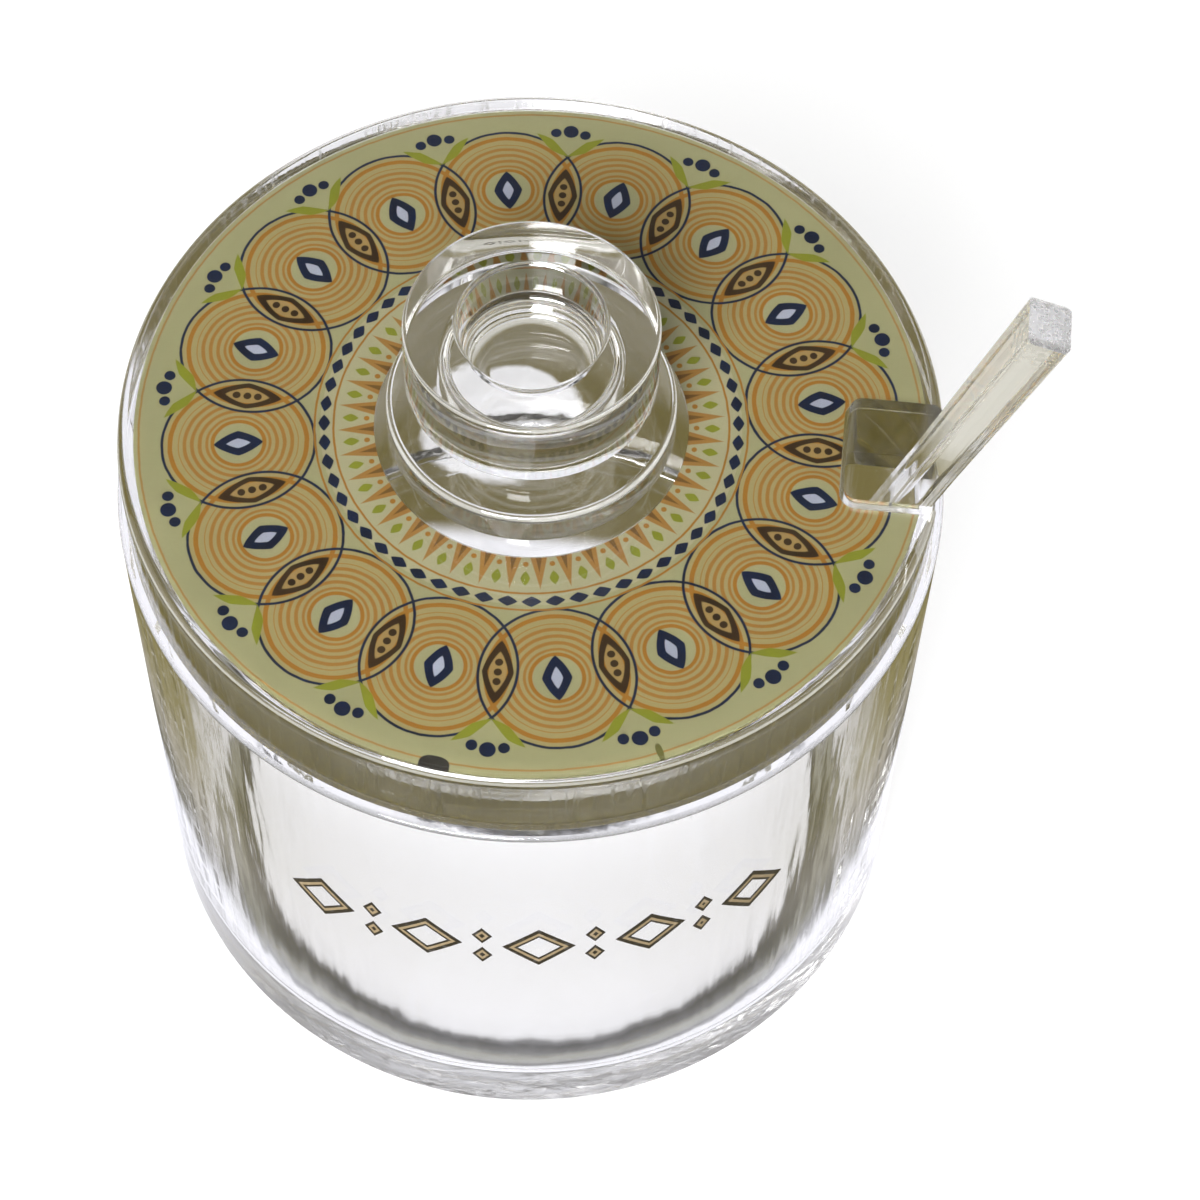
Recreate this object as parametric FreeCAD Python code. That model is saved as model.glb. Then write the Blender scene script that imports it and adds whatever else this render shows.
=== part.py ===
import FreeCAD, Part
import math
import os

# A clear acrylic honey dish. A jar of round tube, bonded on a disc base, carries a thick flat lid
# with a printed film under its top sheet. A turned knob is bonded in the middle of the lid, and a
# spoon stands in the jar and leans out through a notch in the lid's edge.
# Millimetres, +Z up. The origin is the centre of the jar's underside, and the notch points to +X.

# Jar
TUBE_OUTER_R = 45.0
TUBE_WALL = 3.0
TUBE_HEIGHT = 65.5
TUBE_RIM_ROUND = 0.5
BASE_THICK = 5.0
BASE_HEEL_ROUND = 0.8

# Lid
LID_INSET = 1.0
LID_BODY_THICK = 8.5
LID_BODY_ROUND = 0.4
TOP_SHEET_THICK = 2.0
TOP_SHEET_ROUND = 1.2
PLUG_THICK = 2.5
PLUG_ROUND = 0.4
PLUG_CLEARANCE = 0.5

# Printed film, in a shallow ring-shaped recess under the top sheet
FILM_THICK = 0.2
FILM_EDGE_MARGIN = 1.7
FILM_KNOB_MARGIN = 1.4
FILM_NOTCH_MARGIN = 0.4
FILM_CLEARANCE = 0.1

# Notch for the spoon, open at the lid's edge
NOTCH_WIDTH = 12.9
NOTCH_DEPTH = 10.4
NOTCH_CORNER_ROUND = 1.5

# Knob, turned from one rod
KNOB_FOOT_R = 15.4
KNOB_FOOT_HEIGHT = 3.8
KNOB_FOOT_ROUND = 0.8
KNOB_NECK_R = 8.5
KNOB_NECK_HEIGHT = 4.2
KNOB_NECK_FILLET = 1.4
KNOB_HEAD_R = 13.3
KNOB_HEAD_THICK = 9.0
KNOB_HEAD_LOWER_ROUND = 0.4
KNOB_HEAD_TOP_ROUND = 0.5
DIMPLE_RIM_R = 7.6
DIMPLE_FLOOR_R = 7.0
DIMPLE_DEPTH = 6.5
DIMPLE_RIM_ROUND = 0.5
DIMPLE_FLOOR_ROUND = 2.6

# Spoon: a squared bar that flares to its tip, with an oval bowl at the lower end
SPOON_LENGTH = 108.0
SPOON_LEAN_OUT = 18.6
SPOON_LEAN_SIDE = 1.1
SPOON_RIM_Y = -1.2
SPOON_RIM_GAP = 0.4
SPOON_FLOOR_GAP = 0.3
HANDLE_WIDTH = 5.0
HANDLE_THICK = 4.2
HANDLE_EDGE_ROUND = 0.7
FLARE_LENGTH = 26.0
TIP_WIDTH = 5.8
TIP_THICK = 4.6
TIP_ROUND = 1.2
BOWL_LENGTH = 24.0
BOWL_WIDTH = 17.0
BOWL_DEPTH = 5.0
BOWL_WALL = 1.7

# Worked out from the sizes above
tube_inner_r = TUBE_OUTER_R - TUBE_WALL
jar_top = BASE_THICK + TUBE_HEIGHT
lid_r = TUBE_OUTER_R - LID_INSET
lid_body_top = jar_top + LID_BODY_THICK
lid_top = lid_body_top + TOP_SHEET_THICK
film_outer_r = lid_r - FILM_EDGE_MARGIN
film_inner_r = KNOB_FOOT_R + FILM_KNOB_MARGIN
film_bottom = lid_body_top - FILM_THICK

AXIS_START = FreeCAD.Vector(0, 0, 0)
UP = FreeCAD.Vector(0, 0, 1)
OUTWARD = FreeCAD.Vector(1, 0, 0)
CUT_PAST = 1.0


def outline(corners):
    """Closed wire in the XZ plane through (x, z, rounding) corners. Each rounding is a tangent
    arc, and is kept to what the two sides that meet there leave room for."""
    points = [FreeCAD.Vector(x, 0, z) for x, z, _ in corners]
    roundings = [rounding for _, _, rounding in corners]
    count = len(points)
    arcs = []
    ends = []
    for i in range(count):
        back = points[i - 1] - points[i]
        ahead = points[(i + 1) % count] - points[i]
        room = 0.49 * min(back.Length, ahead.Length)
        back.normalize()
        ahead.normalize()
        half_angle = back.getAngle(ahead) / 2
        reach = min(roundings[i] / math.tan(half_angle), room)
        radius = reach * math.tan(half_angle)
        start = points[i] + back * reach
        stop = points[i] + ahead * reach
        ends.append((start, stop))
        if radius > 0:
            inward = (back + ahead).normalize()
            middle = points[i] + inward * (radius / math.sin(half_angle) - radius)
            arcs.append(Part.Arc(start, middle, stop).toShape())
        else:
            arcs.append(None)
    edges = []
    for i in range(count):
        if arcs[i]:
            edges.append(arcs[i])
        edges.append(Part.LineSegment(ends[i][1], ends[(i + 1) % count][0]).toShape())
    return Part.Wire(edges)


def turned(corners):
    """Solid of revolution about the Z axis, from (radius, height, rounding) corners."""
    return Part.Face(outline(corners)).revolve(AXIS_START, UP, 360)


def disc(radius, bottom, top, lower_round=0.0, upper_round=0.0):
    return turned(
        [(0, bottom, 0), (radius, bottom, lower_round), (radius, top, upper_round), (0, top, 0)]
    )


def ring(inner_r, outer_r, bottom, top, upper_round=0.0):
    return turned(
        [
            (inner_r, bottom, 0),
            (outer_r, bottom, 0),
            (outer_r, top, upper_round),
            (inner_r, top, upper_round),
        ]
    )


def notch_tool(bottom, top, margin=0.0):
    """What the notch takes away between two heights, wider all round by the margin."""
    inner_x = lid_r - NOTCH_DEPTH - margin
    width = NOTCH_WIDTH + 2 * margin
    length = NOTCH_DEPTH + margin + CUT_PAST
    corner = FreeCAD.Vector(inner_x, -width / 2, bottom - CUT_PAST)
    block = Part.makeBox(length, width, top - bottom + 2 * CUT_PAST, corner)
    inner_edges = []
    for edge in block.Edges:
        box = edge.BoundBox
        if box.ZLength > CUT_PAST and box.XMax < inner_x + CUT_PAST:
            inner_edges.append(edge)
    return block.makeFillet(NOTCH_CORNER_ROUND + margin, inner_edges)


def jar_wall():
    return ring(tube_inner_r, TUBE_OUTER_R, BASE_THICK, jar_top, TUBE_RIM_ROUND)


def jar_base():
    return disc(TUBE_OUTER_R, 0, BASE_THICK, lower_round=BASE_HEEL_ROUND)


def lid_plug():
    """Disc under the lid that drops into the tube and keeps the lid in its place."""
    bottom = jar_top - PLUG_THICK
    plug = disc(tube_inner_r - PLUG_CLEARANCE, bottom, jar_top, lower_round=PLUG_ROUND)
    return plug.cut(notch_tool(bottom, jar_top))


def lid_body():
    """Thick disc that rests on the tube's rim, with the recess for the film in its top."""
    body = disc(lid_r, jar_top, lid_body_top, lower_round=LID_BODY_ROUND)
    recess = ring(
        film_inner_r - FILM_CLEARANCE,
        film_outer_r + FILM_CLEARANCE,
        film_bottom,
        lid_body_top + CUT_PAST,
    )
    recess_margin = FILM_NOTCH_MARGIN - FILM_CLEARANCE
    recess = recess.cut(notch_tool(film_bottom, lid_body_top + CUT_PAST, recess_margin))
    return body.cut(recess).cut(notch_tool(jar_top, lid_body_top))


def lid_print():
    """Printed film: a flat ring that stops short of the lid's edge, the knob and the notch."""
    film = ring(film_inner_r, film_outer_r, film_bottom, lid_body_top)
    return film.cut(notch_tool(film_bottom, lid_body_top, FILM_NOTCH_MARGIN))


def lid_top_sheet():
    """Thin clear disc that covers the film and gives the lid its rounded top edge."""
    sheet = disc(lid_r, lid_body_top, lid_top, upper_round=TOP_SHEET_ROUND)
    return sheet.cut(notch_tool(lid_body_top, lid_top))


def knob():
    """Foot disc, neck and thick head with a dimple in its top."""
    foot_top = lid_top + KNOB_FOOT_HEIGHT
    head_bottom = foot_top + KNOB_NECK_HEIGHT
    head_top = head_bottom + KNOB_HEAD_THICK
    dimple_floor = head_top - DIMPLE_DEPTH
    return turned(
        [
            (0, lid_top, 0),
            (KNOB_FOOT_R, lid_top, 0),
            (KNOB_FOOT_R, foot_top, KNOB_FOOT_ROUND),
            (KNOB_NECK_R, foot_top, KNOB_NECK_FILLET),
            (KNOB_NECK_R, head_bottom, KNOB_NECK_FILLET),
            (KNOB_HEAD_R, head_bottom, KNOB_HEAD_LOWER_ROUND),
            (KNOB_HEAD_R, head_top, KNOB_HEAD_TOP_ROUND),
            (DIMPLE_RIM_R, head_top, DIMPLE_RIM_ROUND),
            (DIMPLE_FLOOR_R, dimple_floor, DIMPLE_FLOOR_ROUND),
            (0, dimple_floor, 0),
        ]
    )


def bar_section(width, thick, along):
    """Rounded rectangle across the spoon's own axis: thick along X, width along Y."""
    flat = outline(
        [
            (-thick / 2, -width / 2, HANDLE_EDGE_ROUND),
            (thick / 2, -width / 2, HANDLE_EDGE_ROUND),
            (thick / 2, width / 2, HANDLE_EDGE_ROUND),
            (-thick / 2, width / 2, HANDLE_EDGE_ROUND),
        ]
    )
    flat.rotate(AXIS_START, OUTWARD, -90)
    flat.translate(UP * along)
    return flat


def half_ellipsoid(shrink):
    """Half of the bowl's ellipsoid, on the side of the spoon's back, made smaller by a wall."""
    unit_ball = Part.makeSphere(1.0)
    stretch = FreeCAD.Matrix()
    stretch.scale(
        FreeCAD.Vector(BOWL_DEPTH - shrink, BOWL_WIDTH / 2 - shrink, BOWL_LENGTH / 2 - shrink)
    )
    ball = unit_ball.transformGeometry(stretch)
    corner = FreeCAD.Vector(0, -BOWL_WIDTH, -BOWL_LENGTH)
    back_half = Part.makeBox(2 * BOWL_DEPTH, 2 * BOWL_WIDTH, 2 * BOWL_LENGTH, corner)
    half = ball.common(back_half)
    half.translate(FreeCAD.Vector(-HANDLE_THICK / 2, 0, BOWL_LENGTH / 2))
    return half


def spoon_flat():
    """The spoon along its own axis: bowl tip at zero, handle towards +Z, hollow towards -X."""
    handle_start = BOWL_LENGTH - 2 * BOWL_WALL
    flare_start = SPOON_LENGTH - FLARE_LENGTH
    straight = Part.makeLoft(
        [
            bar_section(HANDLE_WIDTH, HANDLE_THICK, handle_start),
            bar_section(HANDLE_WIDTH, HANDLE_THICK, flare_start),
        ],
        True,
        True,
    )
    flare = Part.makeLoft(
        [
            bar_section(HANDLE_WIDTH, HANDLE_THICK, flare_start),
            bar_section(TIP_WIDTH, TIP_THICK, SPOON_LENGTH),
        ],
        True,
        True,
    )
    tip_side = outline(
        [
            (-TIP_WIDTH, flare_start, 0),
            (TIP_WIDTH, flare_start, 0),
            (TIP_WIDTH / 2 + CUT_PAST / 4, SPOON_LENGTH, TIP_ROUND),
            (-TIP_WIDTH / 2 - CUT_PAST / 4, SPOON_LENGTH, TIP_ROUND),
        ]
    )
    tip_side.rotate(AXIS_START, UP, 90)
    tip_side.translate(OUTWARD * -TIP_THICK)
    flare = flare.common(Part.Face(tip_side).extrude(OUTWARD * 2 * TIP_THICK))
    return half_ellipsoid(0.0).fuse([straight, flare]).cut(half_ellipsoid(BOWL_WALL))


def spoon():
    """The spoon leans outward on the tube's rim and stands on the base."""
    slope_out = math.tan(math.radians(SPOON_LEAN_OUT))
    slope_side = math.tan(math.radians(SPOON_LEAN_SIDE))
    along = FreeCAD.Vector(slope_out, slope_side, 1).normalize()
    out = (OUTWARD - along * OUTWARD.dot(along)).normalize()
    across = along.cross(out)
    half_thick = HANDLE_THICK / 2 / out.x
    rim_x = math.sqrt(tube_inner_r**2 - SPOON_RIM_Y**2) - SPOON_RIM_GAP - half_thick
    at_rim = FreeCAD.Vector(rim_x, SPOON_RIM_Y, jar_top)
    turn = FreeCAD.Rotation(out, across, along, "ZXY")
    placed = spoon_flat()
    placed.Placement = FreeCAD.Placement(at_rim, turn)
    lowest = placed.optimalBoundingBox(False, False).ZMin
    drop = lowest - BASE_THICK - SPOON_FLOOR_GAP
    placed.translate(along * (-drop / along.z))
    return placed


PIECES = {
    "jar_wall": jar_wall,
    "jar_base": jar_base,
    "lid_plug": lid_plug,
    "lid_body": lid_body,
    "lid_print": lid_print,
    "lid_top_sheet": lid_top_sheet,
    "knob": knob,
    "spoon": spoon,
}

os.makedirs("parts", exist_ok=True)
for name, make in PIECES.items():
    make().exportStep(f"parts/{name}.step")
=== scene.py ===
import math

import bmesh
import bpy
from bpy.props import FloatProperty, FloatVectorProperty, IntProperty, PointerProperty
from mathutils import Matrix, Vector


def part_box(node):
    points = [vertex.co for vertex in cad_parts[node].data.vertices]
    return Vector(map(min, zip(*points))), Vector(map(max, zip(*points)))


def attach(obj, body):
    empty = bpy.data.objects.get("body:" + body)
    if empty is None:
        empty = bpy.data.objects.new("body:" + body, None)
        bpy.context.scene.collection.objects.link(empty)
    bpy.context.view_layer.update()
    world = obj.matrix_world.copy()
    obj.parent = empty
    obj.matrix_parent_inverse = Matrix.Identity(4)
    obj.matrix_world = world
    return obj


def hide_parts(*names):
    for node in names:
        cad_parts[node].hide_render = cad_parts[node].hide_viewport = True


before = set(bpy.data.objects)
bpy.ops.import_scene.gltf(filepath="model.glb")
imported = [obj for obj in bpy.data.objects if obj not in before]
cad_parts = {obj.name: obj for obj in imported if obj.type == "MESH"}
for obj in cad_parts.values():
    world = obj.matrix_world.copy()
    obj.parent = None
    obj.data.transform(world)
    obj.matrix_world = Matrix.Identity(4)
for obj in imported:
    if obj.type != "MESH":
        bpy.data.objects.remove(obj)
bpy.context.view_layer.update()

bl_info = {
    "name": "Honey Dish",
    "version": (1, 0, 0),
    "blender": (4, 5, 0),
    "location": "View3D > Sidebar > Honey Dish",
    "description": "Dresses a clear acrylic honey dish with its printed lid, knob and spoon",
    "category": "Object",
}

MM = 0.001

# Places read from the frame, in metres
TUBE_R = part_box("jar_wall")[1].x
TUBE_FOOT_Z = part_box("jar_wall")[0].z
JAR_TOP_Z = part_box("jar_wall")[1].z
LID_R = -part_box("lid_body")[0].x
PLUG_R = -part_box("lid_plug")[0].x
PLUG_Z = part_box("lid_plug")[0].z
SHEET_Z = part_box("lid_top_sheet")[0].z
LID_TOP_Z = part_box("lid_top_sheet")[1].z
FILM_R = -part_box("lid_print")[0].x
FILM_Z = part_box("lid_print")[0].z
KNOB_FOOT_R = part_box("knob")[1].x
KNOB_TOP_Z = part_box("knob")[1].z

TURN_STEPS = 192
ROUND_STEPS = 6
SMOOTH_ANGLE = math.radians(32)
BOND = 0.02 * MM
CUTTER_OVERSHOOT = 5 * MM

# The front's ornament: half width and half height of a small lozenge, how far the two of a pair
# stand from the row's middle, a lozenge's lines from its rim inwards as ink and thickness, the
# most that a line takes of the half width, and the ink's lift and thickness on the tube
SMALL_HALF = (1.1 * MM, 1.9 * MM)
SMALL_SHIFT = 2.4 * MM
LOZENGE_LINES = ((0, 0.55 * MM), (1, 0.4 * MM), (0, 0.3 * MM))
LINE_SHARE = 0.3
INK_LIFT = 0.02 * MM
INK_THICK = 0.04 * MM

# Acrylic: its index of refraction, the roughness of its polished faces and of the sawn notch, and
# the heights between which the spoon's tip turns frosted
ACRYLIC_IOR = 1.49
POLISHED = 0.004
SAWN = 0.12
FROST_Z = (100 * MM, 106.2 * MM)

# What glass shows of the floor, colours at radii in millimetres, blended between them: painted shadow rings
# under the jar's wall and base with bands of painted light between them, and past them a dark olive floor
# that only glass sees, a painted reflection
FLOOR_REACH = 130 * MM
PAINTED_SHADOW_RINGS = (
    (0.0, (0.94, 0.94, 0.98)),
    (35.4, (0.92, 0.92, 0.97)),
    (36.2, (0.03, 0.03, 0.045)),
    (37.5, (0.08, 0.08, 0.08)),
    (38.6, (0.34, 0.34, 0.31)),
    (39.6, (0.25, 0.25, 0.24)),
    (40.3, (0.02, 0.02, 0.03)),
    (41.2, (0.90, 0.90, 0.96)),
    (49.0, (0.86, 0.86, 0.93)),
    (51.0, (0.10, 0.09, 0.05)),
    (56.0, (0.34, 0.31, 0.24)),
    (62.0, (0.20, 0.17, 0.055)),
    (72.0, (0.17, 0.14, 0.035)),
    (82.0, (0.58, 0.565, 0.50)),
)
WAVER = 0.012
GLASS_GLOW = 1.2
CAMERA_GLOW = 0.78
PAPER = (0.3, 0.3, 0.3, 1)
PAPER_UNDER_GLASS = (0.02, 0.02, 0.02, 1)

# An olive card on the floor behind the dish, with an oval white spot on it, seen only through glass: a
# painted reflection, with a painted highlight in the spot, for the knob to show
REFLECTION_CARD = (0.15, 0.125, 0.045, 1)
CARD_Y = (29 * MM, 32 * MM)
CARD_REACH = (70 * MM, 75 * MM)
REFLECTION_SPOT = (0.95, 0.95, 0.98, 1)
SPOT_PLACE = (-9 * MM, 47 * MM)
SPOT_HALF = (11 * MM, 9 * MM)

# What glass shows of the room. Heights are those of the direction looked in, from 0 level to 1 up
ROOM_LOW = (0.13, 0.105, 0.03, 1)
ROOM_HIGH = (0.05, 0.043, 0.025, 1)
ROOM_BLEND = (0.1, 0.6)
WINDOW = (0.9, 0.91, 0.97, 1)
FAR_WINDOW_FOOT = (0.3, 0.4)
FAR_WINDOW_HEAD = (0.74, 0.66)
SKYLIGHT = (0.9, 0.93)
FAR_SIDE_Y = (0.2, 0.35)
SIDE_WINDOW_HEAD = (0.8, 0.7)
SIDE_WINDOW_SHARE = 0.35

# Lamps: place, width and depth in metres, and power in watts
LAMPS = {
    "front_softbox": ((-0.15, -0.7, 0.8), (0.45, 0.45), 19.0),
    "left_softbox": ((-0.8, -0.1, 0.35), (0.5, 0.5), 1.0),
    "right_softbox": ((0.8, 0.1, 0.35), (0.5, 0.5), 1.0),
}
LAMP_AIM = Vector((0, 0, 0.04))
SENSOR_WIDTH = 36
GLASS_BOUNCES = 32


# --- Settings that a user would change ---


def length(name, description, default):
    return FloatProperty(
        name=name, description=description, default=default, min=0.0,
        precision=5, subtype="DISTANCE", unit="LENGTH",
    )


def turn(name, description, degrees):
    return FloatProperty(name=name, description=description, default=math.radians(degrees), subtype="ANGLE")


def srgb(red, green, blue):
    """A colour as a painter mixes it, 0 to 255, in Blender's linear values."""
    return tuple(((each / 255 + 0.055) / 1.055) ** 2.4 for each in (red, green, blue))


def colour(name, description, red, green, blue):
    return FloatVectorProperty(
        name=name, description=description, default=srgb(red, green, blue), min=0.0, max=1.0,
        size=3, subtype="COLOR",
    )


class DishSizes(bpy.types.PropertyGroup):
    """Sizes of the dish's own pieces that the frame's boxes don't give."""

    wall: length("Jar wall", "Thickness of the jar's tube", 3.0 * MM)
    rim_round: length("Rim rounding", "Rounding of the tube's rim", 0.5 * MM)
    heel_round: length("Heel rounding", "Rounding of the base's lower edge", 0.8 * MM)
    inner_fillet: length("Inner fillet", "Rounding where the tube meets the base inside", 3.0 * MM)
    fillet_land: length("Fillet land", "Width of the bond past the fillet", 0.2 * MM)
    lid_round: length("Lid rounding", "Rounding of the lid's top edge", 1.2 * MM)
    lid_lower_round: length("Lid lower rounding", "Rounding under the lid", 0.4 * MM)
    notch_width: length("Notch width", "Width of the spoon's notch", 12.9 * MM)
    notch_depth: length("Notch depth", "From the lid's edge to the notch's end", 10.4 * MM)
    notch_round: length("Notch corners", "Rounding of the notch's inner corners", 1.5 * MM)
    film_knob_margin: length("Film hole margin", "From the knob's foot to the film's hole", 1.4 * MM)
    film_notch_margin: length("Film notch margin", "From the notch to the film", 0.4 * MM)
    film_clearance: length("Film clearance", "Room round the film in its recess", 0.1 * MM)
    foot_height: length("Knob foot", "Height of the knob's foot disc", 3.8 * MM)
    foot_round: length("Foot rounding", "Rounding of the knob's foot", 0.8 * MM)
    neck_r: length("Knob neck", "Radius of the knob's neck", 8.5 * MM)
    neck_round: length("Neck rounding", "Fillets at both ends of the neck", 1.4 * MM)
    head_r: length("Knob head", "Radius of the knob's head", 13.3 * MM)
    head_thick: length("Head thickness", "Thickness of the knob's head", 9.0 * MM)
    head_lower_round: length("Head lower rounding", "Rounding under the knob's head", 0.4 * MM)
    head_round: length("Head rounding", "Rounding of the head's top edges", 0.5 * MM)
    dimple_r: length("Dimple radius", "Radius of the dimple's rim", 7.6 * MM)
    dimple_floor_r: length("Dimple floor", "Radius of the dimple's floor", 7.0 * MM)
    dimple_depth: length("Dimple depth", "Depth of the dimple", 6.5 * MM)
    dimple_round: length("Dimple rounding", "Fillet round the dimple's floor", 2.6 * MM)
    ornament_count: IntProperty(
        name="Ornament places", description="Places in the front's row", default=9, min=2
    )
    ornament_start: turn("Ornament start", "Where the front's row starts, from -Y towards +X", -24.0)
    ornament_end: turn("Ornament end", "Where the front's row ends, from -Y towards +X", 39.0)
    ornament_z: length("Ornament height", "Height of the front row's middle", 44.5 * MM)
    ornament_height: length("Lozenge height", "Height of a large lozenge", 9.0 * MM)
    ornament_width: length("Lozenge width", "Width of a large lozenge", 8.0 * MM)


class DishInks(bpy.types.PropertyGroup):
    """Inks of the lid's print and of the ornament on the jar's front."""

    sage: colour("Sage", "Ground of the print", 190, 188, 142)
    sage_pale: colour("Pale sage", "Ground of the print's middle", 203, 200, 160)
    tan: colour("Tan", "Ground of the circles", 192, 178, 122)
    ochre: colour("Ochre", "Ripples, rings and rays", 190, 132, 48)
    navy: colour("Navy", "Rims, lozenges and beads", 13, 33, 70)
    ice: colour("Ice", "Cores of the lozenges", 205, 212, 232)
    umber: colour("Umber", "Frames and beads between the circles", 66, 45, 22)
    leaf: colour("Leaf", "Leaves and green beads", 156, 164, 48)
    nick: colour("Nick", "Nick in the film's rim", 60, 58, 54)
    stray: colour("Stray mark", "Small stray mark by the rim", 120, 118, 60)
    backing: colour("Backing", "Underside of the film", 200, 182, 84)
    front_dark: colour("Front dark", "Dark lines of the front's lozenges", 34, 26, 18)
    front_gold: colour("Front gold", "Gold line of the front's lozenges", 170, 150, 118)


class StageSettings(bpy.types.PropertyGroup):
    """Camera and the floor's colour."""

    camera_x: FloatProperty(name="Camera X", description="Camera place", default=0.021873)
    camera_y: FloatProperty(name="Camera Y", description="Camera place", default=-0.195006)
    camera_z: FloatProperty(name="Camera Z", description="Camera place", default=0.374763)
    heading: turn("Heading", "Which way the camera looks, from +Y towards +X", -4.0712)
    pitch: turn("Pitch", "How far the camera looks down", 59.3976)
    roll: turn("Roll", "Camera roll", 2.0787)
    lens: FloatProperty(name="Lens", description="Focal length in millimetres", default=99.4955)
    floor: colour("Floor", "Colour of the floor to the camera", 255, 255, 255)


# --- Modelling helpers ---


def deselect_everything():
    if bpy.context.object and bpy.context.object.mode != "OBJECT":
        bpy.ops.object.mode_set(mode="OBJECT")
    bpy.ops.object.select_all(action="DESELECT")


def pick(piece):
    deselect_everything()
    piece.select_set(True)
    bpy.context.view_layer.objects.active = piece


def select_in_edit(piece, kind, wanted):
    """In edit mode, selects the vertices, edges or faces that the test wants, and no others."""
    bpy.ops.mesh.select_mode(type=kind)
    bpy.ops.mesh.select_all(action="DESELECT")
    mesh = bmesh.from_edit_mesh(piece.data)
    rows = {"VERT": mesh.verts, "EDGE": mesh.edges, "FACE": mesh.faces}[kind]
    for item in rows:
        if wanted(item):
            item.select_set(True)
    mesh.select_flush_mode()
    bmesh.update_edit_mesh(piece.data)


def turn_on_lathe(name, corners):
    """Turned solid: a profile through (radius, height, rounding) corners, spun round +Z."""
    deselect_everything()
    bpy.ops.mesh.primitive_plane_add(size=MM)
    piece = bpy.context.object
    piece.name = name
    bpy.ops.object.mode_set(mode="EDIT")
    bpy.ops.mesh.select_mode(type="VERT")
    bpy.ops.mesh.select_all(action="SELECT")
    bpy.ops.mesh.merge(type="CENTER")
    radius, height, _ = corners[0]
    bpy.ops.transform.translate(value=(radius, 0, height))
    for (r0, z0, _), (r1, z1, _) in zip(corners, corners[1:]):
        bpy.ops.mesh.extrude_vertices_move(TRANSFORM_OT_translate={"value": (r1 - r0, 0, z1 - z0)})
    if corners[0][0] > 0:
        select_in_edit(piece, "VERT", lambda vert: len(vert.link_edges) == 1)
        bpy.ops.mesh.edge_face_add()
    for radius, height, rounding in corners:
        if rounding > 0:
            corner = Vector((radius, 0, height))
            select_in_edit(piece, "VERT", lambda vert: (vert.co - corner).length < 1e-6)
            bpy.ops.mesh.bevel(
                offset_type="OFFSET", offset=rounding, segments=ROUND_STEPS, affect="VERTICES"
            )
    bpy.ops.mesh.select_all(action="SELECT")
    bpy.ops.mesh.spin(steps=TURN_STEPS, angle=math.tau, center=(0, 0, 0), axis=(0, 0, 1))
    bpy.ops.mesh.select_all(action="SELECT")
    bpy.ops.mesh.remove_doubles(threshold=1e-6)
    bpy.ops.mesh.normals_make_consistent(inside=False)
    bpy.ops.object.mode_set(mode="OBJECT")
    return piece


def disc_corners(radius, bottom, top, lower_round=0.0, upper_round=0.0):
    return [(0, bottom, 0), (radius, bottom, lower_round), (radius, top, upper_round), (0, top, 0)]


def ring_corners(inner_radius, radius, bottom, top):
    return [(inner_radius, bottom, 0), (radius, bottom, 0), (radius, top, 0), (inner_radius, top, 0)]


def smooth_off(piece):
    """Smooth faces with hard edges kept, and flats that stay flat beside their roundings."""
    pick(piece)
    bpy.ops.object.shade_smooth_by_angle(angle=SMOOTH_ANGLE)
    bpy.ops.object.modifier_add(type="WEIGHTED_NORMAL")
    piece.modifiers[-1].keep_sharp = True
    bpy.ops.object.modifier_apply(modifier=piece.modifiers[-1].name)


def cut_away(piece, cutter):
    pick(piece)
    bpy.ops.object.modifier_add(type="BOOLEAN")
    cut = piece.modifiers[-1]
    cut.operation = "DIFFERENCE"
    cut.solver = "EXACT"
    cut.object = cutter
    bpy.ops.object.modifier_apply(modifier=cut.name)


def notch_cutter(sizes, margin=0.0):
    """Upright block with rounded inner corners, where the lid's notch is."""
    inner_x = LID_R - sizes.notch_depth - margin
    width = sizes.notch_width + 2 * margin
    outer_x = LID_R + CUTTER_OVERSHOOT
    low, high = PLUG_Z - CUTTER_OVERSHOOT, LID_TOP_Z + CUTTER_OVERSHOOT
    deselect_everything()
    bpy.ops.mesh.primitive_cube_add(size=1, location=((inner_x + outer_x) / 2, 0, (low + high) / 2))
    cutter = bpy.context.object
    cutter.scale = (outer_x - inner_x, width, high - low)
    bpy.ops.object.transform_apply(location=True, rotation=True, scale=True)
    bpy.ops.object.mode_set(mode="EDIT")

    def inner_upright(edge):
        a, b = edge.verts
        return abs(a.co.z - b.co.z) > MM and max(a.co.x, b.co.x) < inner_x + MM

    select_in_edit(cutter, "EDGE", inner_upright)
    bpy.ops.mesh.bevel(offset=sizes.notch_round + margin, segments=ROUND_STEPS, affect="EDGES")
    bpy.ops.object.mode_set(mode="OBJECT")
    return cutter


def finish_piece(piece, material, body, slot, *nodes):
    piece.data.materials.clear()
    piece.data.materials.append(material)
    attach(piece, body)
    if nodes:
        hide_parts(*nodes)
    return piece


# --- Materials ---


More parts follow.
